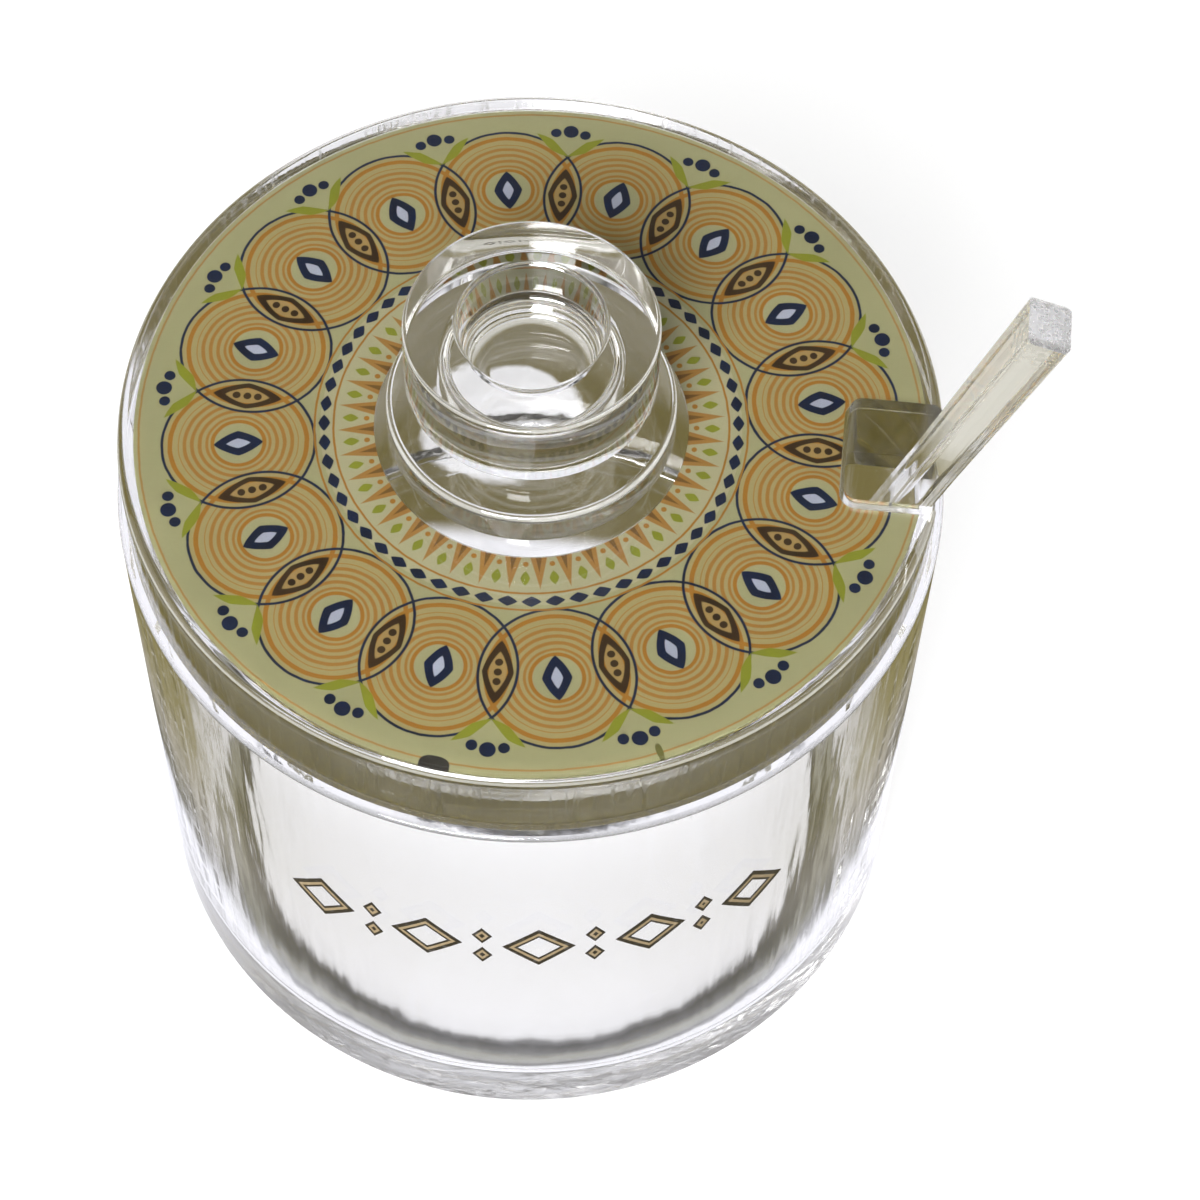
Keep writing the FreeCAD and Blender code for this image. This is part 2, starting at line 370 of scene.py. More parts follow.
class Graph:
    """Short words for wiring a node tree."""

    def __init__(self, tree):
        self.tree = tree

    def add(self, kind, **settings):
        node = self.tree.nodes.new(kind)
        for key, value in settings.items():
            setattr(node, key, value)
        return node

    def wire(self, value, socket):
        if isinstance(value, bpy.types.NodeSocket):
            self.tree.links.new(value, socket)
        else:
            socket.default_value = value

    def math(self, operation, *values, clamp=False):
        node = self.add("ShaderNodeMath", operation=operation, use_clamp=clamp)
        for value, socket in zip(values, node.inputs):
            self.wire(value, socket)
        return node.outputs[0]

    def step(self, value, low, high):
        """Rises smoothly from 0 at low to 1 at high, and falls where high is the lower."""
        node = self.add("ShaderNodeMapRange", interpolation_type="SMOOTHSTEP")
        self.wire(value, node.inputs["Value"])
        node.inputs["From Min"].default_value = min(low, high)
        node.inputs["From Max"].default_value = max(low, high)
        node.inputs["To Min"].default_value = 0.0 if low < high else 1.0
        node.inputs["To Max"].default_value = 1.0 if low < high else 0.0
        return node.outputs["Result"]

    def noise(self, place, scale, detail=2.0):
        """Even noise at a place, or at whatever else gives a vector."""
        node = self.add("ShaderNodeTexNoise")
        self.wire(place, node.inputs["Vector"])
        node.inputs["Scale"].default_value = scale
        node.inputs["Detail"].default_value = detail
        return node.outputs["Fac"]

    def squeeze(self, place, scale):
        node = self.add("ShaderNodeMapping")
        self.wire(place, node.inputs["Vector"])
        node.inputs["Scale"].default_value = scale
        return node.outputs["Vector"]

    def split(self, place):
        node = self.add("ShaderNodeSeparateXYZ")
        self.wire(place, node.inputs[0])
        return node.outputs["X"], node.outputs["Y"], node.outputs["Z"]

    def object_place(self):
        return self.add("ShaderNodeTexCoord").outputs["Object"]

    def squares(self, x, y):
        return self.math("MULTIPLY_ADD", x, x, self.math("MULTIPLY", y, y))

    def mix(self, factor, a, b):
        node = self.add("ShaderNodeMix", data_type="RGBA", clamp_factor=True)
        self.wire(factor, node.inputs["Factor"])
        self.wire(a, node.inputs[6])
        self.wire(b, node.inputs[7])
        return node.outputs[2]


def new_material(name):
    material = bpy.data.materials.new(name)
    material.use_nodes = True
    graph = Graph(material.node_tree)
    return material, graph, material.node_tree.nodes["Principled BSDF"]


def surface_relief():
    """Shared node group: drawn streaks of cast acrylic, and the strokes of a turned edge."""
    name = "surface_relief"
    if name in bpy.data.node_groups:
        return bpy.data.node_groups[name]
    tree = bpy.data.node_groups.new(name, "ShaderNodeTree")
    for socket in ("Streak Scale", "Stroke Scale", "Edge Radius"):
        tree.interface.new_socket(socket, in_out="INPUT", socket_type="NodeSocketFloat")
    for socket in ("Streaks", "Strokes", "Edge Mask"):
        tree.interface.new_socket(socket, in_out="OUTPUT", socket_type="NodeSocketFloat")
    graph = Graph(tree)
    given = graph.add("NodeGroupInput").outputs
    result = graph.add("NodeGroupOutput").inputs
    place = graph.object_place()
    x, y, _ = graph.split(place)
    reach = graph.math("SQRT", graph.squares(x, y))
    for scale, upright, detail, output in (
        ("Streak Scale", 0.12, 2.0, "Streaks"),
        ("Stroke Scale", 0.08, 4.0, "Strokes"),
    ):
        noise = graph.add("ShaderNodeTexNoise")
        graph.wire(graph.squeeze(place, (1.0, 1.0, upright)), noise.inputs["Vector"])
        graph.wire(given[scale], noise.inputs["Scale"])
        noise.inputs["Detail"].default_value = detail
        graph.wire(noise.outputs["Fac"], result[output])
    outside = graph.math("SUBTRACT", reach, given["Edge Radius"])
    graph.wire(graph.math("MULTIPLY_ADD", outside, 1 / (0.3 * MM), 1.0, clamp=True), result["Edge Mask"])
    return tree


def clear_acrylic(name, edge_radius, streak=0.0, stroke=0.0, edge_haze=0.0, streak_scale=260.0):
    """Clear cast acrylic. Past the edge radius its turned edge shows streaks and fine upright strokes."""
    material, graph, shader = new_material(name)
    shader.inputs["Base Color"].default_value = (1, 1, 1, 1)
    shader.inputs["IOR"].default_value = ACRYLIC_IOR
    shader.inputs["Transmission Weight"].default_value = 1.0
    shader.inputs["Roughness"].default_value = POLISHED
    relief = graph.add("ShaderNodeGroup")
    relief.node_tree = surface_relief()
    relief.inputs["Streak Scale"].default_value = streak_scale
    relief.inputs["Stroke Scale"].default_value = 1500.0
    relief.inputs["Edge Radius"].default_value = edge_radius
    mask = relief.outputs["Edge Mask"]
    strokes = graph.math("MULTIPLY", relief.outputs["Strokes"], mask)
    streaks = graph.math("MULTIPLY", relief.outputs["Streaks"], mask)
    height = graph.math("MULTIPLY_ADD", streaks, streak, graph.math("MULTIPLY", strokes, stroke))
    bump = graph.add("ShaderNodeBump")
    bump.inputs["Distance"].default_value = MM
    graph.wire(height, bump.inputs["Height"])
    graph.wire(bump.outputs["Normal"], shader.inputs["Normal"])
    if edge_haze > 0:
        haze = graph.math("MULTIPLY", graph.step(relief.outputs["Strokes"], 0.45, 0.7), mask)
        graph.wire(graph.math("MULTIPLY_ADD", haze, edge_haze, POLISHED), shader.inputs["Roughness"])
    return material, graph, shader


def lid_acrylic(sizes):
    """The lid's acrylic, with a turned edge and sawn notch walls."""
    edge = LID_R - 0.1 * MM
    material, graph, shader = clear_acrylic("lid_acrylic", edge, 0.012, 0.03, edge_haze=0.25)
    x, y, _ = graph.split(graph.object_place())
    inner_x = LID_R - sizes.notch_depth
    half = sizes.notch_width / 2
    along = graph.step(x, inner_x - 0.3 * MM, inner_x - 0.1 * MM)
    across = graph.step(graph.math("ABSOLUTE", y), half + 0.3 * MM, half + 0.1 * MM)
    sawn = graph.math("MULTIPLY", graph.math("MULTIPLY", along, across), SAWN)
    turned = shader.inputs["Roughness"].links[0].from_socket
    graph.wire(graph.math("MAXIMUM", turned, sawn), shader.inputs["Roughness"])
    return material


def spoon_acrylic():
    """Moulded acrylic, scuffed and frosted towards the handle's tip."""
    material, graph, shader = clear_acrylic("spoon_acrylic", 0.0, 0.02, streak_scale=500.0)
    place = graph.object_place()
    worn = graph.step(graph.split(place)[2], *FROST_Z)
    speck = graph.step(graph.noise(place, 1400.0, 3.0), 0.35, 0.62)
    frost = graph.math("MULTIPLY", worn, speck)
    graph.wire(graph.math("MULTIPLY_ADD", frost, 0.35, 0.03), shader.inputs["Roughness"])
    return material


def front_ink(name, colour):
    """Screen-printed ink, a little worn."""
    if name in bpy.data.materials:
        return bpy.data.materials[name]
    material, graph, shader = new_material(name)
    worn = graph.step(graph.noise(graph.object_place(), 1800.0, 4.0), 0.5, 0.75)
    pale = tuple(min(1.0, each + 0.1) for each in colour)
    graph.wire(graph.mix(worn, (*colour, 1), (*pale, 1)), shader.inputs["Base Color"])
    graph.wire(graph.math("MULTIPLY_ADD", worn, 0.3, 0.3), shader.inputs["Roughness"])
    return material


class Ornament(Graph):
    """Inks laid over each other on a ring, in millimetres. A motif's rim is where its distance is 0."""

    def __init__(self, tree, ground):
        super().__init__(tree)
        self.place = self.object_place()
        x, y, _ = self.split(self.place)
        wobble = self.math("MULTIPLY_ADD", self.noise(self.place, 700), 0.16, -0.08)
        self.reach = self.math("MULTIPLY_ADD", self.length_of(x, y), 1 / MM, wobble)
        self.angle = self.math("ARCTAN2", y, x)
        self.colour = (*ground, 1)

    def length_of(self, x, y):
        return self.math("SQRT", self.squares(x, y))

    def cell(self, count, shift, radius):
        """Across and outward from the middle of the nearest of so many places round a circle."""
        turns = self.math("MULTIPLY_ADD", self.angle, count / math.tau, 100.0 - shift + 0.5)
        lean = self.math("MULTIPLY_ADD", self.math("FRACT", turns), math.tau / count, -math.pi / count)
        across = self.math("MULTIPLY", self.reach, self.math("SINE", lean))
        outward = self.math("MULTIPLY_ADD", self.reach, self.math("COSINE", lean), -radius)
        return across, outward

    def round_motif(self, across, outward, at, size):
        x = self.math("SUBTRACT", across, at[0])
        y = self.math("SUBTRACT", outward, at[1])
        return self.math("SUBTRACT", self.length_of(x, y), size)

    def lozenge(self, across, outward, at, half_width, half_height, waist=1.0):
        """A diamond, with hollow sides where the waist is under 1 and full ones over it."""
        x = self.math("DIVIDE", self.math("ABSOLUTE", self.math("SUBTRACT", across, at[0])), half_width)
        y = self.math("DIVIDE", self.math("ABSOLUTE", self.math("SUBTRACT", outward, at[1])), half_height)
        total = self.math("ADD", self.math("POWER", x, waist), self.math("POWER", y, waist))
        return self.math("MULTIPLY", self.math("SUBTRACT", total, 1.0), min(half_width, half_height) / waist)

    def band(self, inner, outer):
        """Distance from a ring-shaped band's rims, on either side."""
        middle, half = (inner + outer) / 2, (outer - inner) / 2
        return self.math("SUBTRACT", self.math("ABSOLUTE", self.math("SUBTRACT", self.reach, middle)), half)

    def within(self, *distances):
        """Inside them all."""
        result = distances[0]
        for each in distances[1:]:
            result = self.math("MAXIMUM", result, each)
        return result

    def either(self, *distances):
        result = distances[0]
        for each in distances[1:]:
            result = self.math("MINIMUM", result, each)
        return result

    def outline(self, distance, thick, at=0.0):
        """The line that runs at a distance from a motif's rim, inside it where at is below 0."""
        away = self.math("ABSOLUTE", self.math("SUBTRACT", distance, at))
        return self.math("SUBTRACT", away, thick / 2)

    def ripples(self, distance, pitch, thick):
        """Even lines that repeat a motif's rim."""
        step = self.math("PINGPONG", distance, pitch / 2)
        return self.math("SUBTRACT", step, thick / 2)

    def ink(self, distance, colour, soft=0.09, strength=1.0):
        mask = self.math("MULTIPLY_ADD", distance, -1 / soft, 0.5, clamp=True)
        if strength < 1.0:
            mask = self.math("MULTIPLY", mask, strength)
        self.colour = self.mix(mask, self.colour, (*colour, 1))


def printed_film(inks):
    """A ring of interlaced circles with lozenges, between a leafy border and a rayed middle."""
    material, graph, shader = new_material("printed_film")
    rings, ring_r, circle_r = 16, 31.2, 8.1
    ornament = Ornament(material.node_tree, inks.sage)
    across, outward = ornament.cell(rings, 0.5, ring_r)
    side = ornament.math("ABSOLUTE", across)
    turn = math.tau / rings
    neighbour = (ring_r * math.sin(turn), ring_r * (math.cos(turn) - 1))
    own = ornament.round_motif(across, outward, (0, 0), circle_r)
    next_one = ornament.round_motif(side, outward, neighbour, circle_r)

    # The circles: tan ground, ochre lines that repeat the rim, and darker lenses where two overlap
    ornament.ink(ornament.either(own, next_one), inks.tan)
    ripples = ornament.within(ornament.ripples(own, 0.8, 0.4), ornament.outline(own, 3.2, -3.3))
    outside_next = ornament.math("MULTIPLY", next_one, -1)
    ornament.ink(ornament.within(ripples, outside_next), inks.ochre, strength=0.85)
    lens = ornament.within(own, next_one)
    ornament.ink(ornament.math("ADD", lens, 0.55), inks.ochre, strength=0.4)
    ornament.ink(ornament.outline(own, 0.5, -0.85), inks.ochre)
    ornament.ink(ornament.outline(next_one, 0.5, -0.85), inks.ochre)
    ornament.ink(ornament.outline(own, 0.3), inks.navy)
    ornament.ink(ornament.outline(next_one, 0.3), inks.navy)

    # Heart of each circle: an ochre ring, and a navy lozenge with a pale core
    heart = ornament.round_motif(across, outward, (0, 0), 2.75)
    ornament.ink(heart, inks.sage)
    ornament.ink(ornament.outline(heart, 0.42), inks.ochre)
    ornament.ink(ornament.lozenge(across, outward, (0, 0), 1.55, 2.6, 1.25), inks.navy)
    ornament.ink(ornament.lozenge(across, outward, (0, 0), 0.6, 1.25, 1.25), inks.ice)

    # Between the hearts, in each lens: three brown beads in a brown frame
    bead_x, bead_y = ornament.cell(rings, 0.0, ring_r - 0.6)
    frame_line = ornament.lozenge(bead_x, bead_y, (0, 0), 1.6, 3.6, 1.3)
    ornament.ink(ornament.outline(frame_line, 0.55, -0.25), inks.umber)
    for step in (-1, 0, 1):
        ornament.ink(ornament.round_motif(bead_x, bead_y, (0, 1.15 * step), 0.42), inks.umber)

    # Border: three navy beads over green leaves, in the hollows between the circles
    for step in (-1, 0, 1):
        size = 0.85 if step == 0 else 0.6
        at = (1.65 * step, 9.0 - 0.35 * abs(step))
        ornament.ink(ornament.round_motif(bead_x, bead_y, at, size), inks.navy)
    leaf_x = ornament.math("ABSOLUTE", bead_x)
    leaf_y = ornament.math("MULTIPLY_ADD", leaf_x, -0.75, bead_y)
    ornament.ink(ornament.lozenge(leaf_x, leaf_y, (1.9, 5.5), 1.9, 0.75, 1.2), inks.leaf)
    ornament.ink(ornament.outline(ornament.band(0, 41.75), 0.22), inks.ochre, strength=0.75)

    # Middle: a chain of navy lozenges between ochre lines, then ochre rays with green beads
    ornament.ink(ornament.band(0, 22.5), inks.sage_pale)
    link_x, link_y = ornament.cell(56, 0.0, 22.1)
    ornament.ink(ornament.lozenge(link_x, link_y, (0, 0), 1.02, 0.62, 1.2), inks.navy)
    for line_r in (21.1, 23.1):
        ornament.ink(ornament.outline(ornament.band(0, line_r), 0.24), inks.ochre)
    ray_x, ray_y = ornament.cell(40, 0.0, 16.4)
    ornament.ink(ornament.lozenge(ray_x, ray_y, (0, 0), 0.95, 4.2), inks.ochre, strength=0.9)
    ornament.ink(ornament.lozenge(ray_x, ray_y, (0, 0), 0.4, 2.2), inks.umber, strength=0.6)
    spot_x, spot_y = ornament.cell(40, 0.5, 19.3)
    ornament.ink(ornament.lozenge(spot_x, spot_y, (0, 0), 0.5, 0.85, 1.3), inks.leaf)
    ornament.ink(ornament.round_motif(spot_x, spot_y, (0, -1.7), 0.3), inks.ochre)

    # A nick in the film's rim and a small stray mark
    for turns, radius, half_width, half_height, colour in (
        (-0.2694, 42.3, 1.6, 1.1, inks.nick),
        (-0.1819, 41.6, 0.35, 0.9, inks.stray),
    ):
        mark_x, mark_y = ornament.cell(1, turns, radius)
        ornament.ink(ornament.lozenge(mark_x, mark_y, (0, 0), half_width, half_height, 2.4), colour)

    # Uneven ink
    grain = ornament.noise(ornament.place, 2600, 3)
    paler = ornament.math("MULTIPLY_ADD", grain, 0.5, -0.15, clamp=True)
    shade = ornament.mix(paler, (0.86, 0.85, 0.82, 1), (1, 1, 1, 1))
    product = ornament.add("ShaderNodeMix", data_type="RGBA", blend_type="MULTIPLY")
    product.inputs["Factor"].default_value = 1.0
    ornament.wire(ornament.colour, product.inputs[6])
    ornament.wire(shade, product.inputs[7])
    height = ornament.split(ornament.place)[2]
    printed_side = ornament.step(height, FILM_Z + 0.05 * MM, FILM_Z + 0.1 * MM)
    face = ornament.mix(printed_side, (*inks.backing, 1), product.outputs[2])
    ornament.wire(face, shader.inputs["Base Color"])
    shader.inputs["Roughness"].default_value = 0.4
    return material


# --- Operators ---


class DISH_OT_jar(bpy.types.Operator):
    """Turn the jar's tube and its base disc"""

    bl_idname = "honey_dish.jar"
    bl_label = "Jar"

    def execute(self, context):
        sizes = context.scene.dish_sizes
        acrylic, _, _ = clear_acrylic("jar_acrylic", 0.0, streak=0.05, stroke=0.004)
        inner_r = TUBE_R - sizes.wall
        land_r = inner_r - sizes.inner_fillet - sizes.fillet_land
        tube = turn_on_lathe(
            "jar_tube",
            [
                (TUBE_R, TUBE_FOOT_Z - BOND, 0),
                (TUBE_R, JAR_TOP_Z, sizes.rim_round),
                (inner_r, JAR_TOP_Z, sizes.rim_round),
                (inner_r, TUBE_FOOT_Z, sizes.inner_fillet),
                (land_r, TUBE_FOOT_Z, 0),
                (land_r, TUBE_FOOT_Z - BOND, 0),
            ],
        )
        smooth_off(tube)
        finish_piece(tube, acrylic, "jar", "clear_jar", "jar_wall")
        base = turn_on_lathe("base_disc", disc_corners(TUBE_R, 0, TUBE_FOOT_Z, sizes.heel_round))
        smooth_off(base)
        finish_piece(base, acrylic, "jar", "clear_jar", "jar_base")
        return {"FINISHED"}


class DISH_OT_front_ornament(bpy.types.Operator):
    """Model the row of lozenges on the jar's front, large ones and pairs of small ones by turns"""

    bl_idname = "honey_dish.front_ornament"
    bl_label = "Front ornament"

    def execute(self, context):
        sizes = context.scene.dish_sizes
        large_half = (sizes.ornament_width / 2, sizes.ornament_height / 2)
        pitch = (sizes.ornament_end - sizes.ornament_start) / (sizes.ornament_count - 1)
        motifs = []
        for index in range(sizes.ornament_count):
            turn = sizes.ornament_start + pitch * index
            if index % 2:
                for shift in (SMALL_SHIFT, -SMALL_SHIFT):
                    motifs.append(self.lozenge(context, turn, SMALL_HALF, sizes.ornament_z + shift))
            else:
                ring = self.lozenge(context, turn, large_half, sizes.ornament_z, hollow=True)
                motifs.append(ring)
        pick(motifs[0])
        for motif in motifs:
            motif.select_set(True)
        bpy.ops.object.join()
        ornament = motifs[0]
        ornament.name = "front_ornament"
        self.lay_on_jar(ornament)
        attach(ornament, "jar")
        return {"FINISHED"}

    def lozenge(self, context, turn, half, z, hollow=False):
        """Flat upright lozenge in front of the jar: a dark line, a gold line and a dark line."""
        inks = context.scene.dish_inks
        half_width, half_height = half
        deselect_everything()
        bpy.ops.mesh.primitive_circle_add(vertices=4, radius=1, fill_type="NGON")
        piece = bpy.context.object
        piece.data.materials.append(front_ink("ink_umber", inks.front_dark))
        piece.data.materials.append(front_ink("ink_gold", inks.front_gold))
        bpy.ops.object.mode_set(mode="EDIT")
        bpy.ops.mesh.select_all(action="SELECT")
        bpy.ops.transform.resize(value=(half_width * math.cos(turn), half_height, 1))
        for ink, thick in LOZENGE_LINES:
            piece.active_material_index = ink
            bpy.ops.object.material_slot_assign()
            bpy.ops.mesh.inset(thickness=min(thick, half_width * LINE_SHARE), use_boundary=True)
        if hollow:
            bpy.ops.mesh.delete(type="FACE")
        bpy.ops.object.mode_set(mode="OBJECT")
        piece.data.transform(Matrix.Rotation(math.pi / 2, 4, "X"))
        place = Vector((TUBE_R * math.sin(turn), -TUBE_R - 2 * MM, z))
        piece.data.transform(Matrix.Translation(place))
        return piece

    def lay_on_jar(self, ornament):
        """Wraps the flat motifs onto the tube and gives the ink its thickness."""
        pick(ornament)
        bpy.ops.object.mode_set(mode="EDIT")
        bpy.ops.mesh.select_all(action="SELECT")
        bpy.ops.mesh.subdivide(number_cuts=3)
        bpy.ops.object.mode_set(mode="OBJECT")
        bpy.ops.object.modifier_add(type="SHRINKWRAP")
        wrap = ornament.modifiers[-1]
        wrap.target = bpy.data.objects["jar_tube"]
        wrap.wrap_method = "PROJECT"
        wrap.use_project_y = True
        wrap.use_positive_direction = True
        wrap.use_negative_direction = False
        wrap.offset = INK_LIFT
        bpy.ops.object.modifier_apply(modifier=wrap.name)
        bpy.ops.object.modifier_add(type="SOLIDIFY")
        thick = ornament.modifiers[-1]
        thick.thickness = INK_THICK
        thick.offset = 1.0
        bpy.ops.object.modifier_apply(modifier=thick.name)


class DISH_OT_lid(bpy.types.Operator):
    """Turn the lid's three clear discs and the printed film, and cut the notch"""

    bl_idname = "honey_dish.lid"
    bl_label = "Lid"

    def execute(self, context):
        sizes = context.scene.dish_sizes
        acrylic = lid_acrylic(sizes)
        plug = turn_on_lathe(
            "lid_plug_disc", disc_corners(PLUG_R, PLUG_Z, JAR_TOP_Z + 2 * BOND, sizes.lid_lower_round)
        )
        body = turn_on_lathe(
            "lid_body_disc", disc_corners(LID_R, JAR_TOP_Z + BOND, SHEET_Z, sizes.lid_lower_round)
        )
        sheet = turn_on_lathe(
            "lid_cover_sheet",
            disc_corners(LID_R, SHEET_Z - BOND, LID_TOP_Z, 0.0, sizes.lid_round),
        )
        film_hole = KNOB_FOOT_R + sizes.film_knob_margin
        film = turn_on_lathe("film_ring", ring_corners(film_hole, FILM_R, FILM_Z, SHEET_Z - 2 * BOND))
        gap = sizes.film_clearance
        pocket = turn_on_lathe(
            "film_pocket", ring_corners(film_hole - gap, FILM_R + gap, FILM_Z + BOND, SHEET_Z + MM)
        )
        cutter = notch_cutter(sizes)
        for piece in (plug, body, sheet):
            cut_away(piece, cutter)
        bpy.data.objects.remove(cutter)
        film_cutter = notch_cutter(sizes, sizes.film_notch_margin)
        cut_away(film, film_cutter)
        bpy.data.objects.remove(film_cutter)
        pocket_cutter = notch_cutter(sizes, sizes.film_notch_margin - gap)
        cut_away(pocket, pocket_cutter)
        bpy.data.objects.remove(pocket_cutter)
        cut_away(body, pocket)
        bpy.data.objects.remove(pocket)
        for piece in (plug, body, sheet, film):
            smooth_off(piece)
        finish_piece(plug, acrylic, "lid", "clear_lid", "lid_plug")
        finish_piece(body, acrylic, "lid", "clear_lid", "lid_body")
        finish_piece(sheet, acrylic, "lid", "clear_lid", "lid_top_sheet")
        finish_piece(film, printed_film(context.scene.dish_inks), "lid", "printed_film", "lid_print")
        return {"FINISHED"}


class DISH_OT_knob(bpy.types.Operator):
    """Turn the knob"""

    bl_idname = "honey_dish.knob"
    bl_label = "Knob"

    def execute(self, context):
        sizes = context.scene.dish_sizes
        foot_top = LID_TOP_Z + sizes.foot_height
        head_bottom = KNOB_TOP_Z - sizes.head_thick
        floor_z = KNOB_TOP_Z - sizes.dimple_depth
        knob = turn_on_lathe(
            "turned_knob",
            [
                (0, LID_TOP_Z - BOND, 0),
                (KNOB_FOOT_R, LID_TOP_Z - BOND, 0),
                (KNOB_FOOT_R, foot_top, sizes.foot_round),
                (sizes.neck_r, foot_top, sizes.neck_round),
                (sizes.neck_r, head_bottom, sizes.neck_round),
                (sizes.head_r, head_bottom, sizes.head_lower_round),
                (sizes.head_r, KNOB_TOP_Z, sizes.head_round),
                (sizes.dimple_r, KNOB_TOP_Z, sizes.head_round),
                (sizes.dimple_floor_r, floor_z, sizes.dimple_round),
                (0, floor_z, 0),
            ],
        )
        smooth_off(knob)
        acrylic, _, _ = clear_acrylic("knob_acrylic", 0.0, streak=0.012, streak_scale=300.0)
        finish_piece(knob, acrylic, "lid", "clear_knob", "knob")
        return {"FINISHED"}


class DISH_OT_spoon(bpy.types.Operator):
    """Finish the spoon"""

    bl_idname = "honey_dish.spoon"
    bl_label = "Spoon"

    def execute(self, context):
        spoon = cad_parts["spoon"]
        spoon.data.materials.clear()
        spoon.data.materials.append(spoon_acrylic())
        return {"FINISHED"}


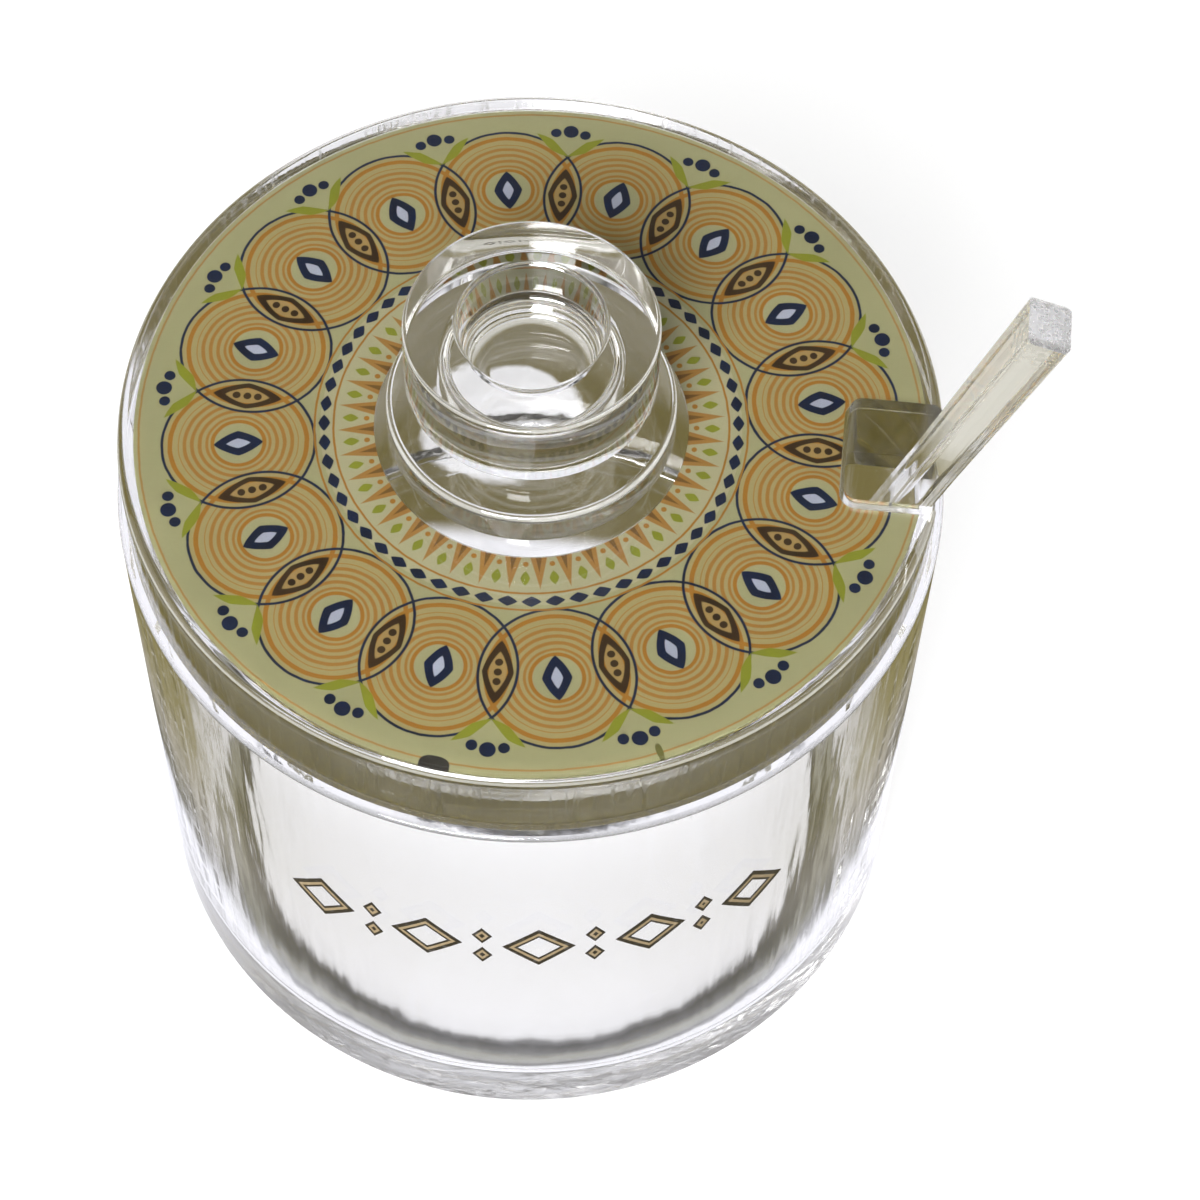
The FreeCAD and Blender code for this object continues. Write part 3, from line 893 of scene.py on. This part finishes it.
class DISH_OT_stage(bpy.types.Operator):
    """Floor, lamps, world and camera"""

    bl_idname = "honey_dish.stage"
    bl_label = "Stage"

    def execute(self, context):
        stage = context.scene.dish_stage
        scene = context.scene
        deselect_everything()
        bpy.ops.mesh.primitive_plane_add(size=6, location=(0, 0, -0.1 * MM))
        bpy.ops.object.transform_apply(location=True)
        floor = bpy.context.object
        floor.name = "floor"
        floor.data.materials.append(self.floor_material((*stage.floor, 1)))
        self.add_world(scene)
        for name, (place, size, power) in LAMPS.items():
            self.add_lamp(name, place, size, power)
        self.add_camera(scene, stage)
        scene.view_settings.view_transform = "Standard"
        scene.cycles.max_bounces = GLASS_BOUNCES
        scene.cycles.transmission_bounces = GLASS_BOUNCES
        scene.cycles.glossy_bounces = GLASS_BOUNCES
        return {"FINISHED"}

    def add_camera(self, scene, stage):
        camera = bpy.data.objects.new("camera", bpy.data.cameras.new("camera"))
        scene.collection.objects.link(camera)
        camera.data.sensor_width = SENSOR_WIDTH
        camera.data.lens = stage.lens
        p, y = stage.pitch, stage.heading
        forward = Vector((math.cos(p) * math.sin(y), math.cos(p) * math.cos(y), -math.sin(p)))
        right = Vector((math.cos(y), -math.sin(y), 0))
        up = right.cross(forward)
        c, s = math.cos(stage.roll), math.sin(stage.roll)
        right, up = c * right + s * up, c * up - s * right
        turn = Matrix((right, up, -forward)).transposed().to_4x4()
        place = Vector((stage.camera_x, stage.camera_y, stage.camera_z))
        camera.matrix_world = Matrix.Translation(place) @ turn
        scene.camera = camera

    def floor_material(self, floor_colour):
        """One colour to the camera. Through glass: painted shadow rings and bands of painted light round the
        dish, and a card with a white spot, painted reflections for the knob.
        """
        material, graph, shader = new_material("floor_white")
        shader.inputs["Roughness"].default_value = 1.0
        shader.inputs["Specular IOR Level"].default_value = 0.0
        rays = graph.add("ShaderNodeLightPath").outputs
        place = graph.object_place()
        length = graph.add("ShaderNodeVectorMath", operation="LENGTH")
        graph.wire(place, length.inputs[0])
        reach = length.outputs["Value"]
        # Painted shadow rings and bands of painted light round the dish, wavering a little, seen only
        # through glass
        share = graph.math("MULTIPLY_ADD", graph.noise(place, 220.0, 3.0), WAVER, -WAVER / 2)
        share = graph.math("MULTIPLY_ADD", reach, 1 / FLOOR_REACH, share)
        rings = graph.add("ShaderNodeValToRGB")
        graph.wire(share, rings.inputs["Fac"])
        stops = rings.color_ramp.elements
        while len(stops) < len(PAINTED_SHADOW_RINGS):
            stops.new(1.0)
        for stop, (radius, shade) in zip(stops, PAINTED_SHADOW_RINGS):
            stop.position = radius * MM / FLOOR_REACH
            stop.color = (*shade, 1)
        x, y, _ = graph.split(place)
        # Card and white spot, seen only through glass: painted reflection and painted highlight for the knob
        near = graph.step(reach, *reversed(CARD_REACH))
        reflection_card_mask = graph.math("MULTIPLY", graph.step(y, *CARD_Y), near)
        under_glass = graph.mix(reflection_card_mask, rings.outputs["Color"], REFLECTION_CARD)
        across = graph.math("DIVIDE", graph.math("SUBTRACT", x, SPOT_PLACE[0]), SPOT_HALF[0])
        along = graph.math("DIVIDE", graph.math("SUBTRACT", y, SPOT_PLACE[1]), SPOT_HALF[1])
        away = graph.squares(across, along)
        under_glass = graph.mix(graph.step(away, 1.15, 0.85), under_glass, REFLECTION_SPOT)
        camera = rays["Is Camera Ray"]
        seen_through = graph.math("MAXIMUM", rays["Is Transmission Ray"], rays["Is Glossy Ray"])
        glow = graph.math("MULTIPLY", seen_through, GLASS_GLOW)
        glow = graph.math("MULTIPLY_ADD", camera, CAMERA_GLOW, glow)
        graph.wire(graph.mix(camera, under_glass, floor_colour), shader.inputs["Emission Color"])
        graph.wire(glow, shader.inputs["Emission Strength"])
        graph.wire(graph.mix(camera, PAPER_UNDER_GLASS, PAPER), shader.inputs["Base Color"])
        return material

    def add_world(self, scene):
        """White to the camera. To everything else, a dim room with pale windows."""
        world = bpy.data.worlds.new("studio")
        scene.world = world
        world.use_nodes = True
        graph = Graph(world.node_tree)
        back = world.node_tree.nodes["Background"]
        camera = graph.add("ShaderNodeLightPath").outputs["Is Camera Ray"]
        outlook = graph.add("ShaderNodeTexCoord").outputs["Generated"]
        _, y, height = graph.split(outlook)
        room = graph.mix(graph.step(height, *ROOM_BLEND), ROOM_LOW, ROOM_HIGH)
        patches = graph.noise(graph.squeeze(outlook, (2.6, 2.6, 0.9)), 1.0, 1.0)
        side_windows = graph.step(patches, 0.58, 0.64)
        side_windows = graph.math("MULTIPLY", side_windows, graph.step(height, *SIDE_WINDOW_HEAD))
        side_windows = graph.math("MULTIPLY", side_windows, SIDE_WINDOW_SHARE)
        foot = graph.step(height, *FAR_WINDOW_FOOT)
        far_window = graph.math("MULTIPLY", foot, graph.step(height, *FAR_WINDOW_HEAD))
        far_window = graph.math("MAXIMUM", far_window, graph.step(height, *SKYLIGHT))
        far_window = graph.math("MULTIPLY", far_window, graph.step(y, *FAR_SIDE_Y))
        bright = graph.math("MAXIMUM", side_windows, far_window)
        lit = graph.mix(bright, room, WINDOW)
        graph.wire(graph.mix(camera, lit, (1, 1, 1, 1)), back.inputs["Color"])

    def add_lamp(self, name, place, size, power):
        lamp = bpy.data.lights.new(name, "AREA")
        lamp.shape = "RECTANGLE"
        lamp.size, lamp.size_y = size
        lamp.energy = power
        holder = bpy.data.objects.new(name, lamp)
        bpy.context.scene.collection.objects.link(holder)
        holder.location = place
        aim = LAMP_AIM - Vector(place)
        holder.rotation_euler = aim.to_track_quat("-Z", "Y").to_euler()


class DISH_PT_panel(bpy.types.Panel):
    bl_label = "Honey Dish"
    bl_idname = "DISH_PT_panel"
    bl_space_type = "VIEW_3D"
    bl_region_type = "UI"
    bl_category = "Honey Dish"

    def draw(self, context):
        for operator in STEPS:
            self.layout.operator(operator.bl_idname)


STEPS = (
    DISH_OT_jar, DISH_OT_front_ornament, DISH_OT_lid, DISH_OT_knob, DISH_OT_spoon, DISH_OT_stage,
)
CLASSES = (DishSizes, DishInks, StageSettings, *STEPS, DISH_PT_panel)


def register():
    for each in CLASSES:
        bpy.utils.register_class(each)
    bpy.types.Scene.dish_sizes = PointerProperty(type=DishSizes)
    bpy.types.Scene.dish_inks = PointerProperty(type=DishInks)
    bpy.types.Scene.dish_stage = PointerProperty(type=StageSettings)


def unregister():
    del bpy.types.Scene.dish_stage
    del bpy.types.Scene.dish_inks
    del bpy.types.Scene.dish_sizes
    for each in reversed(CLASSES):
        bpy.utils.unregister_class(each)


def main():
    register()
    bpy.ops.honey_dish.jar()
    bpy.ops.honey_dish.front_ornament()
    bpy.ops.honey_dish.lid()
    bpy.ops.honey_dish.knob()
    bpy.ops.honey_dish.spoon()
    bpy.ops.honey_dish.stage()


if __name__ == "__main__":
    main()
